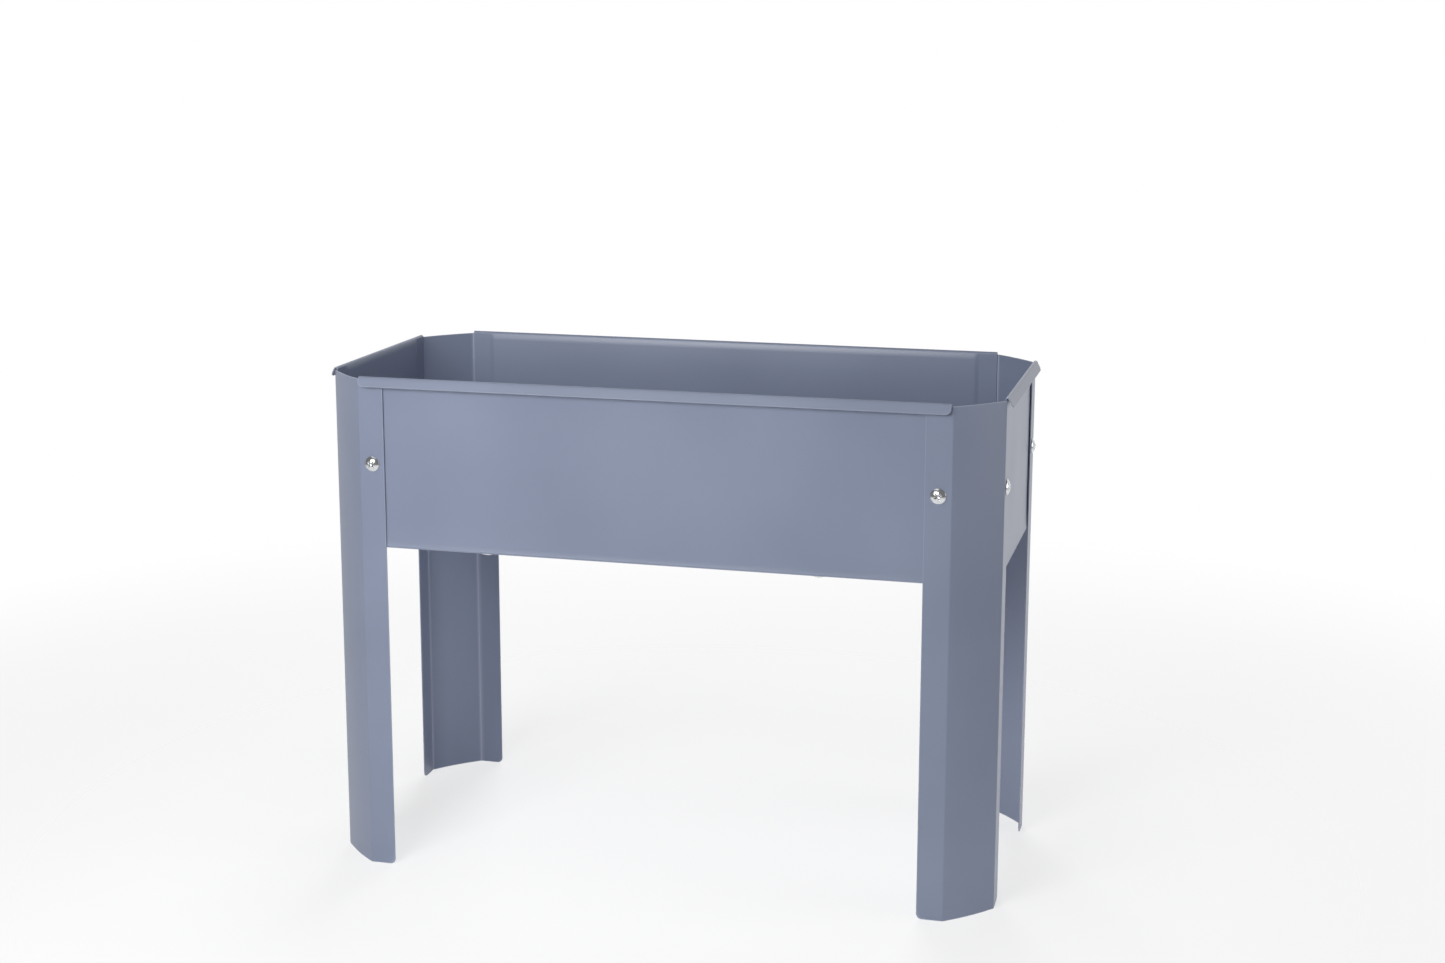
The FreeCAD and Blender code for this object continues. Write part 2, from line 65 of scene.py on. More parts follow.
def new_group(name, inputs, outputs):
    """An empty shader node group with named sockets, and its two end nodes."""
    group = bpy.data.node_groups.new(name, "ShaderNodeTree")
    for label, kind, default in inputs:
        socket = group.interface.new_socket(label, in_out="INPUT", socket_type=kind)
        if default is not None:
            socket.default_value = default
    for label, kind in outputs:
        group.interface.new_socket(label, in_out="OUTPUT", socket_type=kind)
    return group, group.nodes.new("NodeGroupInput"), group.nodes.new("NodeGroupOutput")


def noise_node(tree, vector, scale, detail=2.0, roughness=0.5):
    node = tree.nodes.new("ShaderNodeTexNoise")
    node.inputs["Scale"].default_value = scale
    node.inputs["Detail"].default_value = detail
    node.inputs["Roughness"].default_value = roughness
    tree.links.new(vector, node.inputs["Vector"])
    return node.outputs["Fac"]


def spread(tree, value, low, high, to_low, to_high):
    """A Map Range node: the value's low..high becomes to_low..to_high, clamped."""
    node = tree.nodes.new("ShaderNodeMapRange")
    for socket, number in zip(node.inputs[1:5], (low, high, to_low, to_high)):
        socket.default_value = number
    tree.links.new(value, node.inputs[0])
    return node.outputs[0]


def maths(tree, operation, one, other):
    node = tree.nodes.new("ShaderNodeMath")
    node.operation = operation
    for socket, value in zip(node.inputs, (one, other)):
        if isinstance(value, (int, float)):
            socket.default_value = value
        else:
            tree.links.new(value, socket)
    return node.outputs[0]


def blend_colours(tree, factor, one, other):
    node = tree.nodes.new("ShaderNodeMix")
    node.data_type = "RGBA"
    tree.links.new(factor, node.inputs["Factor"])
    for socket, colour in ((node.inputs[6], one), (node.inputs[7], other)):
        if isinstance(colour, tuple):
            socket.default_value = colour
        else:
            tree.links.new(colour, socket)
    return node.outputs[2]


def new_material(name):
    material = bpy.data.materials.new(name)
    material.use_nodes = True
    tree = material.node_tree
    return material, tree, tree.nodes["Principled BSDF"]


def orange_peel_group():
    """Height of a sprayed and baked skin: soft cells about 1.5 mm across, with finer grain on them."""
    group, given, made = new_group(
        "orange_peel",
        [("Vector", "NodeSocketVector", None)],
        [("Height", "NodeSocketFloat"), ("Mottle", "NodeSocketFloat")],
    )
    cells = noise_node(group, given.outputs["Vector"], 620, detail=1.5)
    grain = noise_node(group, given.outputs["Vector"], 2400, detail=1.0)
    height = maths(group, "ADD", cells, maths(group, "MULTIPLY", grain, 0.18))
    group.links.new(height, made.inputs["Height"])
    mottle = noise_node(group, given.outputs["Vector"], 9, detail=1.5, roughness=0.45)
    group.links.new(mottle, made.inputs["Mottle"])
    return group


def powder_coat():
    material, tree, shader = new_material("slate_powder_coat")
    place = tree.nodes.new("ShaderNodeTexCoord")
    peel = tree.nodes.new("ShaderNodeGroup")
    peel.node_tree = orange_peel_group()
    tree.links.new(place.outputs["Object"], peel.inputs["Vector"])
    cloud = spread(tree, peel.outputs["Mottle"], -0.3, 1.3, 0, 1)
    skin = blend_colours(tree, cloud, COAT_DEEP, COAT_LIGHT)
    # Paler coat within a millimetre of the sheared edges: partly thinner powder, partly a painted highlight
    # that the edges catch.
    edge = tree.nodes.new("ShaderNodeAttribute")
    edge.attribute_name = "from_edge"
    thin_edge_and_glint = spread(tree, edge.outputs["Fac"], 0.0002, 0.0009, 0.55, 0)
    # Painted highlight: the coat turns paler along the crease-highlight attribute, inside the leg bends.
    line = tree.nodes.new("ShaderNodeAttribute")
    line.attribute_name = "painted_crease_highlight"
    skin = blend_colours(tree, line.outputs["Fac"], skin, COAT_BEND_HIGHLIGHT)
    tree.links.new(blend_colours(tree, thin_edge_and_glint, skin, COAT_THIN_EDGE_AND_GLINT), shader.inputs["Base Color"])
    tree.links.new(spread(tree, peel.outputs["Mottle"], -0.3, 1.3, 0.285, 0.375), shader.inputs["Roughness"])
    bump = tree.nodes.new("ShaderNodeBump")
    bump.inputs["Strength"].default_value = 0.28
    bump.inputs["Distance"].default_value = 0.0001
    tree.links.new(peel.outputs["Height"], bump.inputs["Height"])
    tree.links.new(bump.outputs["Normal"], shader.inputs["Normal"])
    shader.inputs["IOR"].default_value = 1.5
    return material


COAT = powder_coat()


# ============================================================ legs
# Each leg is one strip of sheet, bent twice into flange, bevel and flange, with the bevel rolled
# slightly round to stiffen it. It stands on its bare lower edge, whose two free corners are rounded.

BEVEL = 0.039                     # taken off each side of the corner
BULGE = 0.0018
FOOT_CORNER = 0.005
LEG_BOW = 0.00025                 # how far a long bevel strays from true
LEG_BEND_START = 16               # the first of a bend's eight points along the section
# Painted highlight: this sets how wide the paler line painted along the inside of a bend is.
HIGHLIGHT_HALF_WIDTH = 0.0008               # half width of the paler line inside a bend


def arc(centre, radius, start, end, count):
    """Points and outward directions along a circle arc, from the start angle to the end angle."""
    turn = np.linspace(start, end, count)
    out = np.stack([np.cos(turn), np.sin(turn)], -1)
    return np.asarray(centre) + radius * out, out


def rounded_steps(radius, count):
    """Distances from an edge out to the radius, bunched towards the edge as on a quarter circle."""
    return radius * (1 - np.cos(np.linspace(0, math.pi / 2, count)))


def cut_back(distance, radius):
    """How far a border steps back at a distance from a corner that is rounded to the radius."""
    near = np.clip(radius - distance, 0, radius)
    return radius - np.sqrt(radius**2 - near**2)


def grid_quads(rows, columns):
    index = np.arange(rows * columns).reshape(rows, columns)
    quads = np.stack([index[:-1, :-1], index[:-1, 1:], index[1:, 1:], index[1:, :-1]], -1)
    return index, quads.reshape(-1, 4)


def mesh_object(name, points, quads):
    """A smooth-shaded mesh of points and quads, linked into the scene as an object."""
    mesh = bpy.data.meshes.new(name)
    mesh.from_pydata(points.reshape(-1, 3).tolist(), [], quads.tolist())
    mesh.shade_smooth()
    piece = bpy.data.objects.new(name, mesh)
    bpy.context.scene.collection.objects.link(piece)
    return piece


def turn_outwards(mesh, merge=0.0):
    work = bmesh.new()
    work.from_mesh(mesh)
    if merge:
        bmesh.ops.remove_doubles(work, verts=work.verts, dist=merge)
    bmesh.ops.recalc_face_normals(work, faces=work.faces)
    work.to_mesh(mesh)
    work.free()


def soften_sheet(piece):
    """Sheared edges rounded as the baked powder leaves them, and the coat itself."""
    soften = piece.modifiers.new("sheared_edges", "BEVEL")
    soften.width = 0.0003
    soften.segments = 3
    soften.limit_method = "ANGLE"
    soften.angle_limit = math.radians(50)
    soften.harden_normals = True
    piece.data.materials.append(COAT)


def sheet_shell(name, middle, normals, from_edge, crease_glint=None):
    """A closed sheet: the middle surface moved half the thickness each way along its normals, with
    a rim of quads joining the two faces along the four borders of the grid. The face against the
    normals may carry a painted highlight along a bend, given as a strength at each column."""
    rows, columns = middle.shape[:2]
    faces = np.stack([middle + normals * SHEET / 2, middle - normals * SHEET / 2])
    index, quads = grid_quads(rows, columns)
    border = np.concatenate([index[0, :-1], index[:-1, -1], index[-1, :0:-1], index[:0:-1, 0]])
    after = np.roll(border, -1)
    back = rows * columns
    rim = np.stack([border, border + back, after + back, after], -1)
    piece = mesh_object(name, faces, np.concatenate([quads, quads[:, ::-1] + back, rim]))
    turn_outwards(piece.data)
    shade = piece.data.attributes.new("from_edge", "FLOAT", "POINT")
    shade.data.foreach_set("value", np.tile(from_edge.ravel(), 2).astype(np.float32))
    if crease_glint is not None:
        line = np.broadcast_to(crease_glint, (rows, columns)).ravel()
        mark = piece.data.attributes.new("painted_crease_highlight", "FLOAT", "POINT")
        mark.data.foreach_set("value", np.concatenate([line * 0, line]).astype(np.float32))
    soften_sheet(piece)
    return piece


def dress(piece, node):
    """The calls every replacing piece needs: it rides with the planter and stands for its node."""
    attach(piece, "root")
    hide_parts(node)


def turned(points, quarter):
    """Points turned about the upright axis by a number of quarter turns."""
    turn = quarter * math.pi / 2
    spin = np.array([[math.cos(turn), math.sin(turn), 0], [-math.sin(turn), math.cos(turn), 0], [0, 0, 1]])
    return points @ spin


def leg_path(reach):
    """The middle line of a leg's section, from the corner that the bevel cuts off. It runs along the
    first flange, round a bend, along the bulged bevel, round a bend and along the second flange; a
    bend's centre is one bend radius off the flange and off the bevel's circle, on the hollow side."""
    chord = BEVEL * math.sqrt(2)
    radius = (chord**2 / 4 + BULGE**2) / (2 * BULGE)
    heart = BEVEL / 2 + (radius - BULGE) / math.sqrt(2)
    outer_bend = BEND + SHEET
    bend_x = heart - math.sqrt((radius - outer_bend)**2 - (heart - outer_bend)**2)
    lean = math.atan2(outer_bend - heart, bend_x - heart)
    flange = reach - bend_x
    steps = rounded_steps(FOOT_CORNER, 12)
    along = np.concatenate([steps, np.linspace(FOOT_CORNER, flange, 6)[1:-1]])
    straight = np.stack([reach - along, np.full_like(along, SHEET / 2)], -1)
    bend, bend_out = arc((bend_x, outer_bend), MIDDLE_BEND, -math.pi / 2, lean, 8)
    half = np.concatenate([straight, bend])
    half_out = np.concatenate([np.tile([0.0, -1.0], (len(straight), 1)), bend_out])
    bevel, bevel_out = arc((heart, heart), radius - SHEET / 2, lean, -math.pi * 1.5 - lean, 26)
    path = np.concatenate([half, bevel[1:-1], half[::-1, ::-1]])
    out = np.concatenate([half_out, bevel_out[1:-1], half_out[::-1, ::-1]])
    return path, out


def make_leg(name, node, quarter):
    """A leg: the section's middle line carried up from the ground, with its lower border stepping
    up round the two free corners, and the bevel bowed very slightly along its height."""
    low, high = (np.array(corner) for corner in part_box(node))
    corner = np.array([(low, high)[quarter in (1, 2)][0], (low, high)[quarter in (2, 3)][1], 0])
    path, out = leg_path(high[0] - low[0])
    run = np.concatenate([[0], np.cumsum(np.linalg.norm(np.diff(path, axis=0), axis=1))])
    to_end = np.minimum(run, run[-1] - run)
    foot = cut_back(to_end, FOOT_CORNER)
    climb = np.linspace(0, 1, 40)[:, None]
    heights = foot + (high[2] - foot) * climb
    in_bevel = np.clip(to_end / run[-1] * 2, 0, 1)
    bow = LEG_BOW * np.sin(math.pi * climb) * np.sin(2.3 * math.pi * climb + quarter) * in_bevel**4
    middle = np.empty((len(climb), len(path), 3))
    middle[..., :2] = path + out * bow[..., None]
    middle[..., 2] = heights
    normals = np.zeros_like(middle)
    normals[..., :2] = out
    from_edge = np.minimum(to_end, np.minimum(heights - foot, high[2] - heights))
    # Painted highlight: full strength at the middle of the first bend, fading out over the half width.
    to_bend = abs(to_end - (run[LEG_BEND_START] + run[LEG_BEND_START + 7]) / 2)
    crease_glint = np.clip(1 - to_bend / HIGHLIGHT_HALF_WIDTH, 0, 1)
    place = turned(middle, quarter) + corner
    piece = sheet_shell(name, place, turned(normals, quarter), from_edge, crease_glint)
    dress(piece, node)


for quarter, corner_name in enumerate(("front_left", "front_right", "back_right", "back_left")):
    make_leg(f"coated_leg_{corner_name}", f"leg_{corner_name}", quarter)


# ============================================================ panels
# Four walls stand inside the leg flanges. Each is one sheet: at the rim it is folded outwards and
# down into a drip lip, which hides the tops of the legs, and at the bottom inwards into a ledge for
# the floor. The lip's ends are rounded and the ledge's are clipped. A wide wall is never quite flat.

LIP_ANGLE = math.radians(27)
LIP_CORNER = 0.005
LEDGE_CLIP = 0.010
WALL_SWELL = 0.0004
STAND_OFF = 0.0008                # how far a wall hangs back from the flanges' free edges


def smooth_step(value, low, high):
    part = np.clip((value - low) / (high - low), 0, 1)
    return part * part * (3 - 2 * part)


def panel_path(wall_out, rim, underside, lip_out, ledge_in):
    """The middle line of a panel's section as (outward, up), from the lip's edge over the rim bend,
    down the wall, round the lower bend and in along the ledge, with its normals on the lip's top
    side. The lip is as long as it must be to reach lip_out."""
    top = rim - BEND - SHEET
    slope = np.array([math.sin(LIP_ANGLE), -math.cos(LIP_ANGLE)])
    bend, bend_out = arc((wall_out + BEND, top), MIDDLE_BEND, LIP_ANGLE, math.pi, 16)
    length = (lip_out - bend[0, 0] - SHEET / 2 * math.cos(LIP_ANGLE)) / slope[0]
    steps = np.concatenate([rounded_steps(LIP_CORNER, 12), [length * 0.8]])
    lip = bend[0] + slope * (length - steps)[:, None]
    lip_normal = np.tile([math.cos(LIP_ANGLE), math.sin(LIP_ANGLE)], (len(lip), 1))
    low_bend_up = underside + BEND + SHEET
    drop = np.linspace(top, low_bend_up, 26)[1:-1]
    wall = np.stack([np.full_like(drop, wall_out - SHEET / 2), drop], -1)
    wall_normal = np.tile([-1.0, 0.0], (len(wall), 1))
    low, low_out = arc((wall_out - BEND - SHEET, low_bend_up), MIDDLE_BEND, 0, -math.pi / 2, 10)
    inward = np.linspace(low[-1, 0], ledge_in, 8)[1:]
    ledge = np.stack([inward, np.full_like(inward, underside + SHEET / 2)], -1)
    ledge_normal = np.tile([0.0, 1.0], (len(ledge), 1))
    path = np.concatenate([lip, bend, wall, low, ledge])
    normal = np.concatenate([lip_normal, bend_out, wall_normal, -low_out, ledge_normal])
    return path, normal


FLANGE_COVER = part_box("panel_front")[1][0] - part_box("leg_back_right")[0][0]


def make_panel(name, node, quarter, leg_face):
    """A panel: the section carried along the face. Each of its points has its own half length, which
    steps back round the lip's corners and the ledge's clipped corners. The wall swells in and out
    by a sum of two slow waves that fades at its bends and its bolted ends."""
    low, high = (np.array(corner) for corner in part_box(node))
    corners = turned(np.array([low, high]), -quarter)
    outward = -corners[:, 1]
    lip_out, ledge_in = outward.max(), outward.min()
    path, normal = panel_path(leg_face - SHEET, high[2], low[2], lip_out, ledge_in)
    run = np.concatenate([[0], np.cumsum(np.linalg.norm(np.diff(path, axis=0), axis=1))])
    half = abs(corners[0, 0]) - cut_back(run, LIP_CORNER)
    half = np.where(run > LIP_CORNER, abs(corners[0, 0]), half)
    half = half - np.clip(LEDGE_CLIP - (run[-1] - run), 0, None)
    full = abs(corners[0, 0])
    steps = np.concatenate([
        np.linspace(0, FLANGE_COVER - 0.006, 5), np.linspace(FLANGE_COVER - 0.005, FLANGE_COVER, 8),
        np.geomspace(FLANGE_COVER + 0.001, full, 20),
    ])
    across = np.concatenate([steps / full - 1, 1 - steps[-2::-1] / full])[None, :]
    along = half[:, None] * across
    rise = np.clip((path[:, 1] - low[2]) / (high[2] - low[2]), 0, 1)
    on_wall = (normal[:, 0] < -0.99)[:, None]
    waves = np.sin(3.1 * across + quarter) + 0.6 * np.sin(7.3 * across + 2 * quarter + 1.3)
    swell = WALL_SWELL * waves * (1 - across**4) * (np.sin(math.pi * rise)**2)[:, None] * on_wall
    to_end = half[:, None] * (1 - abs(across))
    between_bolts = smooth_step(to_end, FLANGE_COVER - 0.005, FLANGE_COVER)
    swell -= STAND_OFF * between_bolts * (1 - abs(2 * rise - 1)**8)[:, None] * on_wall
    middle = np.stack([along, -(path[:, :1] + swell), np.broadcast_to(path[:, 1:], along.shape)], -1)
    normals = np.zeros_like(middle)
    normals[..., 1] = -normal[:, :1]
    normals[..., 2] = normal[:, 1:]
    from_edge = np.minimum(to_end, np.minimum(run, run[-1] - run)[:, None])
    piece = sheet_shell(name, turned(middle, quarter), turned(normals, quarter), from_edge)
    dress(piece, node)


leg_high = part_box("leg_back_right")[1]
for quarter, face in enumerate(("front", "right", "back", "left")):
    make_panel(f"coated_panel_{face}", f"panel_{face}", quarter, leg_high[(quarter + 1) % 2])


# ============================================================ floor
# The floor is one flat sheet with clipped corners. It lies on the four ledges, sags a trace between
# them, and two rows of punched holes let the water out.

FLOOR_CLIP = 0.03583
DRAIN_RADIUS = 0.005
DRAIN_X = 0.105 * np.arange(-2, 3)
DRAIN_Y = 0.120 * np.array([-0.5, 0.5])
FLOOR_SAG = 0.0006


def wrapped_quads(rows, columns, closed_rows=False):
    """Quads of a grid whose columns run round and meet, and whose rows do too if asked."""
    index = np.arange(rows * columns).reshape(rows, columns)
    index = np.concatenate([index, index[:, :1]], axis=1)
    if closed_rows:
        index = np.concatenate([index, index[:1]], axis=0)
    quads = np.stack([index[:-1, :-1], index[:-1, 1:], index[1:, 1:], index[1:, :-1]], -1)
    return quads.reshape(-1, 4)


def cell_lines(middles, edge):
    """For a row of holes, the grid lines of each hole's cell. Cells meet halfway between the holes,
    and the two outer ones reach the sheet's edge with a line where its corner is clipped."""
    ends = np.concatenate([[-edge], (middles[1:] + middles[:-1]) / 2, [edge]])
    lines = [np.linspace(low, high, 8) for low, high in zip(ends[:-1], ends[1:])]
    lines[0] = np.concatenate([[-edge], np.linspace(FLOOR_CLIP - edge, ends[1], 7)])
    lines[-1] = np.concatenate([np.linspace(ends[-2], edge - FLOOR_CLIP, 7), [edge]])
    return lines


def drain_cell(x, y, hole, clip_sum):
    """Rings of points from a drain hole's circle out to its cell's border. A border point beyond
    the clipped corner, where |x| + |y| is over the sum, is drawn in along its ray from the hole."""
    border = np.concatenate([
        np.stack(np.broadcast_arrays(x[:-1], y[0]), -1), np.stack(np.broadcast_arrays(x[-1], y[:-1]), -1),
        np.stack(np.broadcast_arrays(x[:0:-1], y[-1]), -1), np.stack(np.broadcast_arrays(x[0], y[:0:-1]), -1),
    ])
    ray = border - hole
    here, there = abs(hole).sum(), abs(border).sum(axis=1)
    ray *= np.where(there > clip_sum, (clip_sum - here) / np.where(there > here, there - here, 1), 1)[:, None]
    length = np.linalg.norm(ray, axis=1, keepdims=True)
    part = np.array([0, 0.004, 0.012, 0.03, 0.08, 0.2, 0.5, 1])[:, None, None]
    return hole + ray / length * (DRAIN_RADIUS + (length - DRAIN_RADIUS) * part)


def make_floor(name, node):
    """The floor: a cell of rings round every drain hole, joined edge to edge, sagging as the squares
    of one minus the squared part of the way out along each side."""
    low, high = (np.array(corner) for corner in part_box(node))
    clip_sum = high[0] + high[1] - FLOOR_CLIP
    cells = [drain_cell(x, y, np.array([hole_x, hole_y]), clip_sum)
             for hole_x, x in zip(DRAIN_X, cell_lines(DRAIN_X, high[0]))
             for hole_y, y in zip(DRAIN_Y, cell_lines(DRAIN_Y, high[1]))]
    plan = np.concatenate([cell.reshape(-1, 2) for cell in cells])
    firsts = np.cumsum([0] + [cell[..., 0].size for cell in cells[:-1]])
    quads = np.concatenate([wrapped_quads(*cell.shape[:2]) + first for cell, first in zip(cells, firsts)])
    sag = FLOOR_SAG * np.prod((1 - (plan / high[:2])**2)**2, axis=1)
    level = (low[2] + high[2]) / 2
    piece = mesh_object(name, np.column_stack([plan, level - sag]), quads)
    turn_outwards(piece.data, merge=1e-6)
    spots = np.empty(len(piece.data.vertices) * 3, np.float32)
    piece.data.vertices.foreach_get("co", spots)
    spots = spots.reshape(-1, 3)[:, :2]
    holes = np.stack(np.meshgrid(DRAIN_X, DRAIN_Y), -1).reshape(-1, 1, 2)
    to_hole = np.linalg.norm(spots - holes, axis=2).min(axis=0) - DRAIN_RADIUS
    to_side = (high[:2] - abs(spots)).min(axis=1)
    to_clip = (clip_sum - abs(spots).sum(axis=1)) / math.sqrt(2)
    shade = piece.data.attributes.new("from_edge", "FLOAT", "POINT")
    shade.data.foreach_set("value", np.minimum(to_hole, np.minimum(to_side, to_clip)).astype(np.float32))
    thicken = piece.modifiers.new("sheet", "SOLIDIFY")
    thicken.thickness = SHEET
    thicken.offset = 0
    soften_sheet(piece)
    dress(piece, node)


make_floor("coated_floor_sheet", "floor_sheet")


# ============================================================ bolts
# Twelve M6 fasteners, cold-headed in mild steel: low round truss heads with a cross recess pressed
# in, rolled threads, and bright zinc plate. One goes through each leg flange and the panel behind
# it, and four hold the floor to the ledges. No two were left at the same turn of the screwdriver.

HEAD_EDGE = 0.0006
BOLT_LENGTH = 0.012               # from the seat to the tip
SHANK_RADIUS = 0.003
RECESS_REACH = 0.0034
RECESS_DEPTH = 0.0024
SLOT_HALF_WIDTH = 0.00062
THREAD_PITCH = 0.001
THREAD_DEPTH = 0.00055
ZINC_COLOUR = (0.74, 0.755, 0.77, 1)
ZINC_DULL = (0.60, 0.615, 0.63, 1)
random = np.random.default_rng(6)


def zinc_plate():
    """Bright zinc: mirror-like metal with a faint cloudy bloom and a fine grain."""
    material, tree, shader = new_material("bright_zinc_plate")
    place = tree.nodes.new("ShaderNodeTexCoord")
    cloud = noise_node(tree, place.outputs["Object"], 260, detail=3, roughness=0.6)
    bloom = spread(tree, cloud, 0.4, 0.75, 0, 1)
    tree.links.new(blend_colours(tree, bloom, ZINC_COLOUR, ZINC_DULL), shader.inputs["Base Color"])
    tree.links.new(spread(tree, cloud, 0.35, 0.75, 0.10, 0.26), shader.inputs["Roughness"])
    shader.inputs["Metallic"].default_value = 1.0
    bump = tree.nodes.new("ShaderNodeBump")
    bump.inputs["Strength"].default_value = 0.12
    bump.inputs["Distance"].default_value = 0.00005
    fine = noise_node(tree, place.outputs["Object"], 1500, detail=2)
    tree.links.new(fine, bump.inputs["Height"])
    tree.links.new(bump.outputs["Normal"], shader.inputs["Normal"])
    return material


ZINC = zinc_plate()


def cross_recess(radius, turn):
    """Depth of the cross recess: four arms whose floors rise from the middle to the surface, with
    steep walls, and a round hollow in the middle that joins them."""
    off_arm = np.mod(turn + math.pi / 4, math.pi / 2) - math.pi / 4
    along = radius * np.cos(off_arm)
    aside = np.abs(radius * np.sin(off_arm))
    floor = RECESS_DEPTH * (1 - np.clip(along / RECESS_REACH, 0, 1)**2)
    wall = 1 - smooth_step(aside, SLOT_HALF_WIDTH * 0.75, SLOT_HALF_WIDTH * 1.25)
    hollow = RECESS_DEPTH * (1 - smooth_step(radius, 0, 0.0017))
    return np.maximum(floor * wall, hollow)


def thread_radius(height, turn, outer):
    """Radius of a rolled thread: a rounded ridge that climbs one pitch in each turn."""
    phase = np.mod(height / THREAD_PITCH - turn / (2 * math.pi), 1)
    return outer - THREAD_DEPTH * (0.5 + 0.5 * np.cos(2 * math.pi * phase))


def aimed(points, outward):
    """Points turned so that their +Z looks along the outward direction."""
    side = np.array([0.0, 0.0, 1.0]) if abs(outward[2]) < 0.5 else np.array([1.0, 0.0, 0.0])
    across = np.cross(side, outward)
    return points @ np.stack([across, np.cross(outward, across), outward])


def make_bolt(name, node, outward):
    """A bolt turned about its axis: crown with the recess sunk in it, short straight edge, flat
    seat, threaded shank and tapered tip. The crown is an arc of a circle through edge and top."""
    low, high = (np.array(corner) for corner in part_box(node))
    axis = int(np.argmax(np.abs(outward)))
    head = (high - low)[(axis + 1) % 3] / 2
    height = (high - low)[axis] - BOLT_LENGTH
    turn = np.linspace(0, 2 * math.pi, 96, endpoint=False)[None, :]
    crown = np.concatenate([np.linspace(0, 0.0036, 44), np.linspace(0.0036, head, 14)[1:]])[:, None]
    dome = (head**2 + (height - HEAD_EDGE)**2) / (2 * (height - HEAD_EDGE))
    crown_up = np.sqrt(dome**2 - crown**2) - dome + height - cross_recess(crown, turn)
    edge = np.array([
        [head, HEAD_EDGE * 0.6], [head - 0.0001, 0.00012], [head - 0.0003, 0], [SHANK_RADIUS, 0],
    ])
    threads = np.linspace(-0.0002, -BOLT_LENGTH + 0.0006, 96)[:, None]
    fade = smooth_step(threads, -BOLT_LENGTH + 0.0004, -BOLT_LENGTH + 0.0014)
    thread = thread_radius(threads, turn, SHANK_RADIUS)
    thread = np.minimum(thread, SHANK_RADIUS - 0.0006 * (1 - fade))
    tip = np.array([[SHANK_RADIUS - 0.0009, -BOLT_LENGTH], [0.001, -BOLT_LENGTH], [0, -BOLT_LENGTH]])

    def ring(values):
        return np.broadcast_to(values, (len(values), turn.size))

    radii = np.concatenate([ring(crown), ring(edge[:, :1]), thread, ring(tip[:, :1])])
    rises = np.concatenate([crown_up, ring(edge[:, 1:]), ring(threads), ring(tip[:, 1:])])
    spin = random.uniform(0, math.pi / 2)
    local = np.stack([radii * np.cos(turn + spin), radii * np.sin(turn + spin), rises], -1)
    middle = (low + high) / 2
    seat = middle + outward * ((high - low)[axis] / 2 - height)
    piece = mesh_object(name, aimed(local, outward) + seat, wrapped_quads(*radii.shape))
    turn_outwards(piece.data, merge=1e-7)
    piece.data.materials.append(ZINC)
    dress(piece, node)


FACES = (
    ("front", (0, -1, 0), ("left", "right")),
    ("right", (1, 0, 0), ("front", "back")),
    ("back", (0, 1, 0), ("right", "left")),
    ("left", (-1, 0, 0), ("back", "front")),
)
DOWN = np.array([0.0, 0.0, -1.0])
for face, outward, ends in FACES:
    for end in ends:
        make_bolt(f"zinc_bolt_{face}_{end}", f"bolt_{face}_{end}", np.array(outward, float))
        if face in ("front", "back"):
            make_bolt(f"zinc_floor_bolt_{face}_{end}", f"floor_bolt_{face}_{end}", DOWN)


# ============================================================ nuts
# M6 flange nuts, forged with a built-in washer, tapped and zinc plated. They sit inside the trough
# on the panels and on the floor.

NUT_FLATS = 0.010
NUT_BORE_RADIUS = 0.00305
NUT_CHAMFER_SLOPE = 1.7
FLANGE_EDGE = 0.0009


def nut_radius(height, turn, flange, full_height):
    """Radius of a flange nut: a hexagon cut back by a chamfer cone at its top, or the flange's cone
    where that stands further out."""
    off_flat = np.mod(turn, math.pi / 3) - math.pi / 6
    hexagon = NUT_FLATS / 2 / np.cos(off_flat)
    chamfer = NUT_FLATS / 2 * 1.02 + (full_height - height) * NUT_CHAMFER_SLOPE
    cone = np.where(height <= FLANGE_EDGE, flange, flange - (height - FLANGE_EDGE) * 1.35)
    return np.maximum(np.minimum(hexagon, chamfer), cone)


def make_nut(name, node, outward):
    """A nut turned about its axis: bore, seat, flange, hexagon, chamfered top and countersink."""
    low, high = (np.array(corner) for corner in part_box(node))
    axis = int(np.argmax(np.abs(outward)))
    full_height, flange = (high - low)[axis], (high - low)[(axis + 1) % 3] / 2
    turn = np.linspace(0, 2 * math.pi, 96, endpoint=False)[None, :]
    heights = np.concatenate([
        [0.0001, 0.0003, FLANGE_EDGE], np.linspace(0.0011, 0.0030, 12),
        np.linspace(0.0034, full_height - 0.0006, 4), np.linspace(full_height - 0.0005, full_height, 7),
    ])[:, None]
    side = nut_radius(heights, turn, flange, full_height)
    side[0] -= 0.0002

    def ring(values):
        return np.broadcast_to(np.array(values)[:, None], (len(values), turn.size))

    countersunk = NUT_BORE_RADIUS + 0.0005
    radii = np.concatenate([
        ring([NUT_BORE_RADIUS, countersunk]), side, ring([countersunk, NUT_BORE_RADIUS]),
    ])
    rises = np.concatenate([ring([0.0005, 0.0]), np.broadcast_to(heights, side.shape),
                            ring([full_height, full_height - 0.0005])])
    spin = random.uniform(0, math.pi / 3)
    local = np.stack([radii * np.cos(turn + spin), radii * np.sin(turn + spin), rises], -1)
    seat = (low + high) / 2 - outward * full_height / 2
    quads = wrapped_quads(*radii.shape, closed_rows=True)
    piece = mesh_object(name, aimed(local, outward) + seat, quads)
    turn_outwards(piece.data)
    piece.data.materials.append(ZINC)
    soften = piece.modifiers.new("forged_edges", "BEVEL")
    soften.width = 0.00012
    soften.segments = 2
    soften.limit_method = "ANGLE"
    soften.angle_limit = math.radians(35)
    soften.harden_normals = True
    dress(piece, node)


for face, outward, ends in FACES:
    for end in ends:
        make_nut(f"zinc_nut_{face}_{end}", f"nut_{face}_{end}", -np.array(outward, float))
        if face in ("front", "back"):
            make_nut(f"zinc_floor_nut_{face}_{end}", f"floor_nut_{face}_{end}", -DOWN)


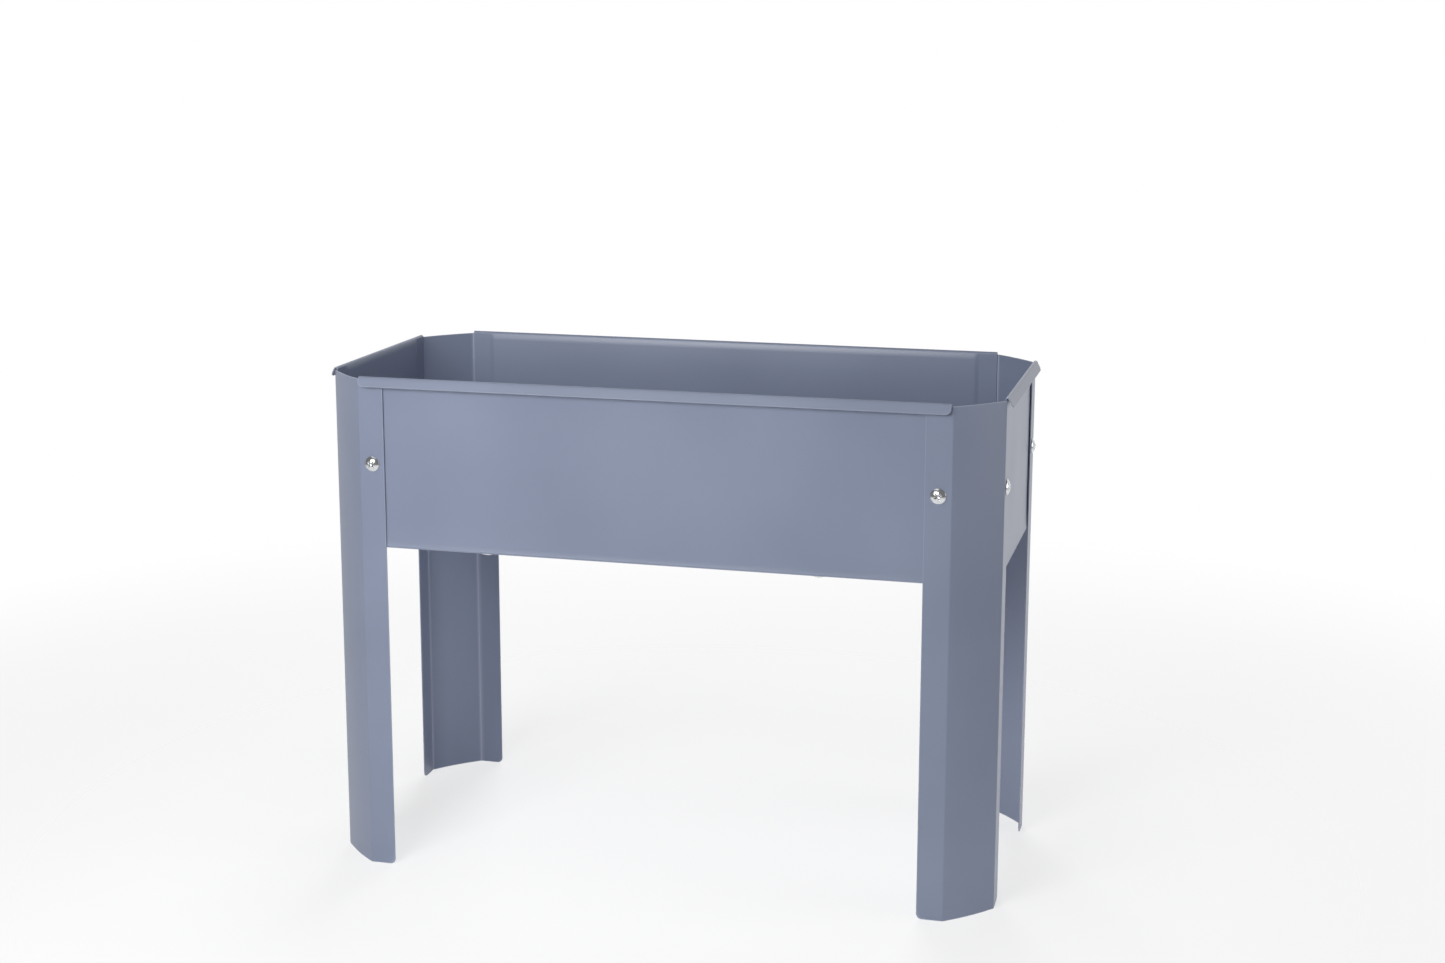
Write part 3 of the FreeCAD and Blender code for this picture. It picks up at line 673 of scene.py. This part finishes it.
# ============================================================ studio
# A white paper floor on a faintly lit table, which runs out into white air. Soft boxes stand close
# at the front left, further off on the other sides and overhead; none shows to the camera.

FLOOR_SIZE = 16
CLEAR_FROM, CLEAR_TO = 0.35, 1.3  # where the floor gives way to the white air, in metres
CLEAR_LEAST = 0.62                # how much of the air's white the paper shows even close by
TABLE_GLOW = 0.2
AIR_SHOWN = 1.0
AIR_LIGHT = 0.035
BACK_MIRRORED = 1.0               # the brightly lit white behind the planter, as gloss mirrors it
ROOM_MIRRORED = 0.2               # the dimmer room in front of it


def seen_plainly(tree):
    """1 for what is looked at or mirrored, 0 for light that is only scattered."""
    path = tree.nodes.new("ShaderNodeLightPath")
    return maths(tree, "SUBTRACT", 1.0, path.outputs["Is Diffuse Ray"])


def paper_floor():
    """White paper, cleared away with distance from the middle so that no horizon is left."""
    material, tree, shader = new_material("pale_paper")
    shader.inputs["Base Color"].default_value = (0.88, 0.88, 0.885, 1)
    shader.inputs["Roughness"].default_value = 0.9
    shader.inputs["Specular IOR Level"].default_value = 0.1
    place = tree.nodes.new("ShaderNodeTexCoord")
    length = tree.nodes.new("ShaderNodeVectorMath")
    length.operation = "LENGTH"
    tree.links.new(place.outputs["Object"], length.inputs[0])
    shader.inputs["Emission Color"].default_value = (1, 1, 1, 1)
    glow = spread(tree, length.outputs["Value"], 0.5, 0.95, TABLE_GLOW, 0)
    tree.links.new(glow, shader.inputs["Emission Strength"])
    away = spread(tree, length.outputs["Value"], CLEAR_FROM, CLEAR_TO, CLEAR_LEAST, 1)
    clear = tree.nodes.new("ShaderNodeBsdfTransparent")
    mixed = tree.nodes.new("ShaderNodeMixShader")
    tree.links.new(maths(tree, "MULTIPLY", away, seen_plainly(tree)), mixed.inputs[0])
    tree.links.new(shader.outputs[0], mixed.inputs[1])
    tree.links.new(clear.outputs[0], mixed.inputs[2])
    tree.links.new(mixed.outputs[0], tree.nodes["Material Output"].inputs["Surface"])
    return material


floor_mesh = bpy.data.meshes.new("studio_floor")
reach = FLOOR_SIZE / 2
floor_mesh.from_pydata([(-reach, -reach, 0), (reach, -reach, 0), (reach, reach, 0), (-reach, reach, 0)],
                       [], [(0, 1, 2, 3)])
floor_mesh.materials.append(paper_floor())
studio_floor = bpy.data.objects.new("studio_floor", floor_mesh)
bpy.context.scene.collection.objects.link(studio_floor)


def soft_light(name, place, aim, size, power, mirrored=True):
    """A rectangular area light at a place, turned to face the aim point."""
    light = bpy.data.lights.new(name, "AREA")
    light.shape = "RECTANGLE"
    light.size, light.size_y = size
    light.energy = power
    lamp = bpy.data.objects.new(name, light)
    bpy.context.scene.collection.objects.link(lamp)
    lamp.location = place
    lamp.rotation_euler = (Vector(place) - Vector(aim)).to_track_quat("Z", "Y").to_euler()
    lamp.visible_camera = False
    lamp.visible_glossy = mirrored


soft_light("key", (-0.42, -1.3, 0.85), (-0.1, 0, 0.25), (0.7, 0.7), 12)
soft_light("front", (-0.1, -1.9, 1.2), (0, 0, 0.25), (0.8, 0.8), 5)
soft_light("right", (1.9, 0.0, 0.65), (0, 0, 0.25), (1.0, 0.9), 8)
soft_light("back", (-0.3, 1.9, 1.1), (0, 0, 0.25), (1.2, 1.0), 27, mirrored=False)
soft_light("overhead", (-0.2, -0.4, 1.5), (-0.1, -0.1, 0), (1.0, 0.8), 2)

world = bpy.data.worlds.new("studio_air")
bpy.context.scene.world = world
world.use_nodes = True
air_tree = world.node_tree
air = air_tree.nodes["Background"]
air.inputs["Color"].default_value = (1, 1, 1, 1)
direction = air_tree.nodes.new("ShaderNodeTexCoord")
parts = air_tree.nodes.new("ShaderNodeSeparateXYZ")
air_tree.links.new(direction.outputs["Generated"], parts.inputs[0])
behind = spread(air_tree, parts.outputs["Y"], -0.2, 0.9, ROOM_MIRRORED, BACK_MIRRORED)
below = spread(air_tree, parts.outputs["Z"], -0.45, -0.2, BACK_MIRRORED, ROOM_MIRRORED)
mirrored = maths(air_tree, "MAXIMUM", behind, below)
path = air_tree.nodes.new("ShaderNodeLightPath")
scattered = maths(air_tree, "MULTIPLY", path.outputs["Is Diffuse Ray"], AIR_LIGHT)
shown = maths(air_tree, "MULTIPLY", path.outputs["Is Camera Ray"], AIR_SHOWN)
gloss = maths(air_tree, "MULTIPLY", path.outputs["Is Glossy Ray"], mirrored)
strength = maths(air_tree, "ADD", shown, maths(air_tree, "ADD", scattered, gloss))
air_tree.links.new(strength, air.inputs["Strength"])
bpy.context.scene.view_settings.view_transform = "Standard"


# ============================================================ camera
# A short telephoto at standing height, in front and to the right, looking a little down.

camera_data = bpy.data.cameras.new("camera")
camera_data.sensor_width = 36
camera_data.lens = 54.6
camera_data.shift_y = -0.0346
camera = bpy.data.objects.new("camera", camera_data)
bpy.context.scene.collection.objects.link(camera)
heading, tilt, roll = math.radians(14.49), math.radians(90 - 11.03), math.radians(0.11)
camera.matrix_world = (Matrix.Translation((0.523, -1.903, 0.774)) @ Matrix.Rotation(heading, 4, "Z")
                       @ Matrix.Rotation(tilt, 4, "X") @ Matrix.Rotation(roll, 4, "Z"))
bpy.context.scene.camera = camera
